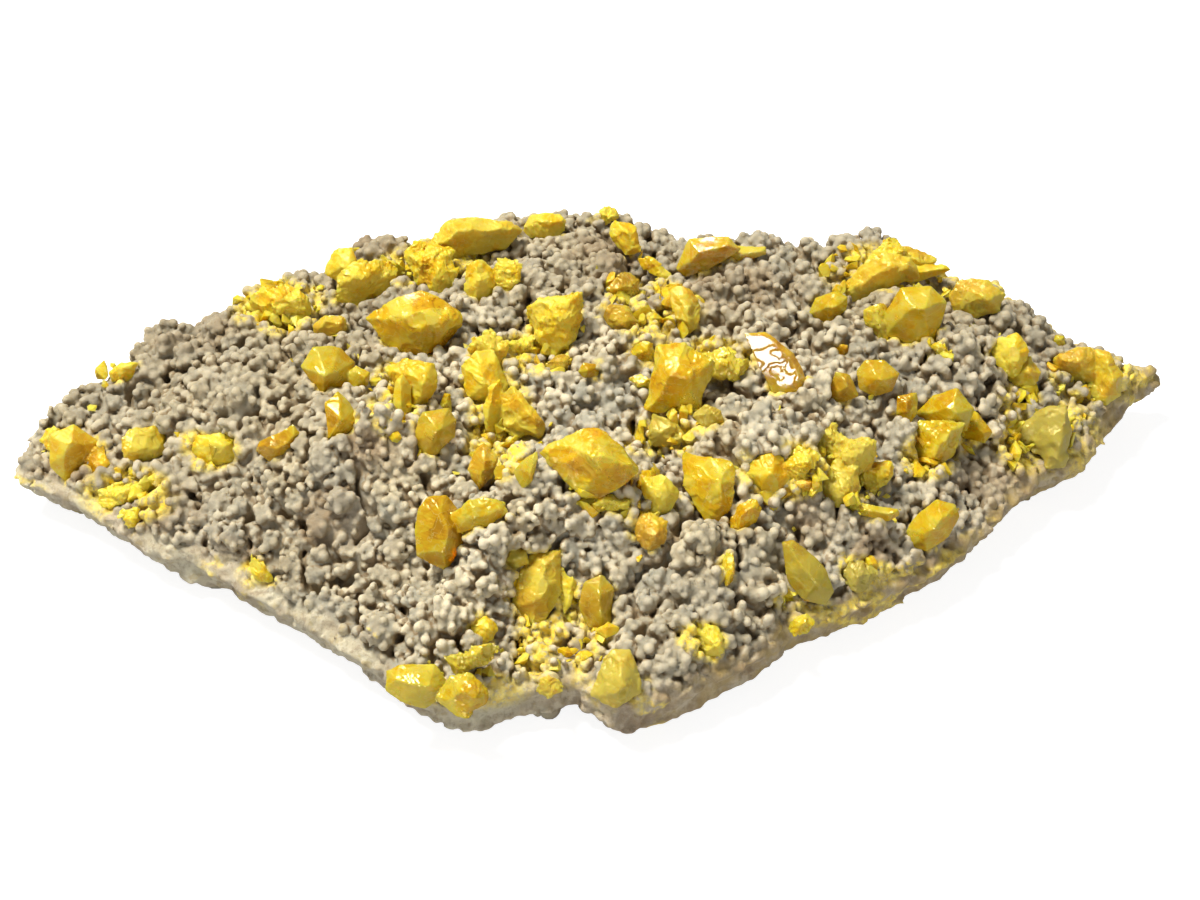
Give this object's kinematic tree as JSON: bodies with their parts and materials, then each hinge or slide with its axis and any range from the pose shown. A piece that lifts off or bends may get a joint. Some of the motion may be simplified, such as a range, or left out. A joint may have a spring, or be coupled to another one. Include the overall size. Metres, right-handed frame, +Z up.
{
  "type": "native sulfur crystal specimen",
  "caption": "Cabinet mineral specimen: yellow to amber native sulfur crystals grown on a flat lens-shaped plate of limestone crusted with knobbly pale aragonite, standing on its sawn-flat base.",
  "frame": {"origin": "centre of the specimen's plan box, on the flat face it stands on", "axes": "+X along the plate to the right tip, +Y to the back edge, +Z up; the front, -Y, is the side the specimen is shown from"},
  "size_m": [0.2125, 0.1215, 0.0397],
  "materials": {
    "matrix_crust": "knobbly cream and blue-grey crust over rough brownish limestone",
    "sulfur_gem": "translucent amber yellow with bright resinous faces",
    "sulfur_broken": "translucent amber yellow with conchoidal breaks",
    "sulfur_etched": "softly etched, cloudy lemon yellow",
    "sulfur_ragged": "stepped and torn lemon yellow"
  },
  "bodies": {
    "root": {"amber_below_crystal": "sulfur_broken", "amber_crystal": "sulfur_gem", "arch_group": "sulfur_ragged", "back_chunk_crystal": "sulfur_broken", "back_pair": "sulfur_etched", "back_ridge_mass": "sulfur_ragged", "back_right_small_crystal": "sulfur_gem", "back_tilt_crystal": "sulfur_broken", "big_right_crystals": "sulfur_gem", "blocky_great_crystal": "sulfur_broken", "bright_etched_crystal": "sulfur_ragged", "broken_great_crystal": "sulfur_broken", "deep_amber_crystal": "sulfur_etched", "dull_under_crystal": "sulfur_etched", "egg_crystal": "sulfur_gem", "front_big_right_crystal": "sulfur_etched", "front_left_crystals": "sulfur_gem", "front_right_pair": "sulfur_ragged", "front_under_crystal": "sulfur_ragged", "gem_crystal": "sulfur_gem", "great_dipyramid": "sulfur_broken", "great_left_crystal": "sulfur_broken", "great_right_back_crystal": "sulfur_gem", "hanging_crystal": "sulfur_etched", "left_pair": "sulfur_etched", "left_shoulder_crystal": "sulfur_etched", "left_tip_group": "sulfur_ragged", "low_gem_crystal": "sulfur_broken", "lying_prism_crystal": "sulfur_gem", "matrix": "matrix_crust", "middle_pair": "sulfur_etched", "mirror_gem_crystal": "sulfur_gem", "olive_right_mass": "sulfur_etched", "olive_translucent_crystal": "sulfur_etched", "orange_gem_crystal": "sulfur_gem", "pale_flake_crystal": "sulfur_etched", "pale_round_crystal": "sulfur_etched", "ragged_left_back_mass": "sulfur_ragged", "ragged_left_top_mass": "sulfur_etched", "right_back_mass": "sulfur_etched", "right_chip_crystal": "sulfur_gem", "right_end_crystals": "sulfur_etched", "rim_crystal": "sulfur_gem", "round_east_crystal": "sulfur_gem", "round_west_crystal": "sulfur_gem", "rounded_yellow_crystal": "sulfur_etched", "shield_crystal": "sulfur_gem", "skyline_gem_crystal": "sulfur_gem", "skyline_middle_mass": "sulfur_etched", "skyline_patch_east": "sulfur_etched", "skyline_patch_west": "sulfur_ragged", "smooth_right_mass": "sulfur_etched", "squat_left_crystal": "sulfur_etched", "tall_pale_crystal": "sulfur_gem", "thin_blade_crystal": "sulfur_gem", "translucent_group": "sulfur_ragged", "twin_crystals": "sulfur_etched", "vug_group": "sulfur_etched", "wedge_crystal": "sulfur_gem"}
  },
  "joints": []
}
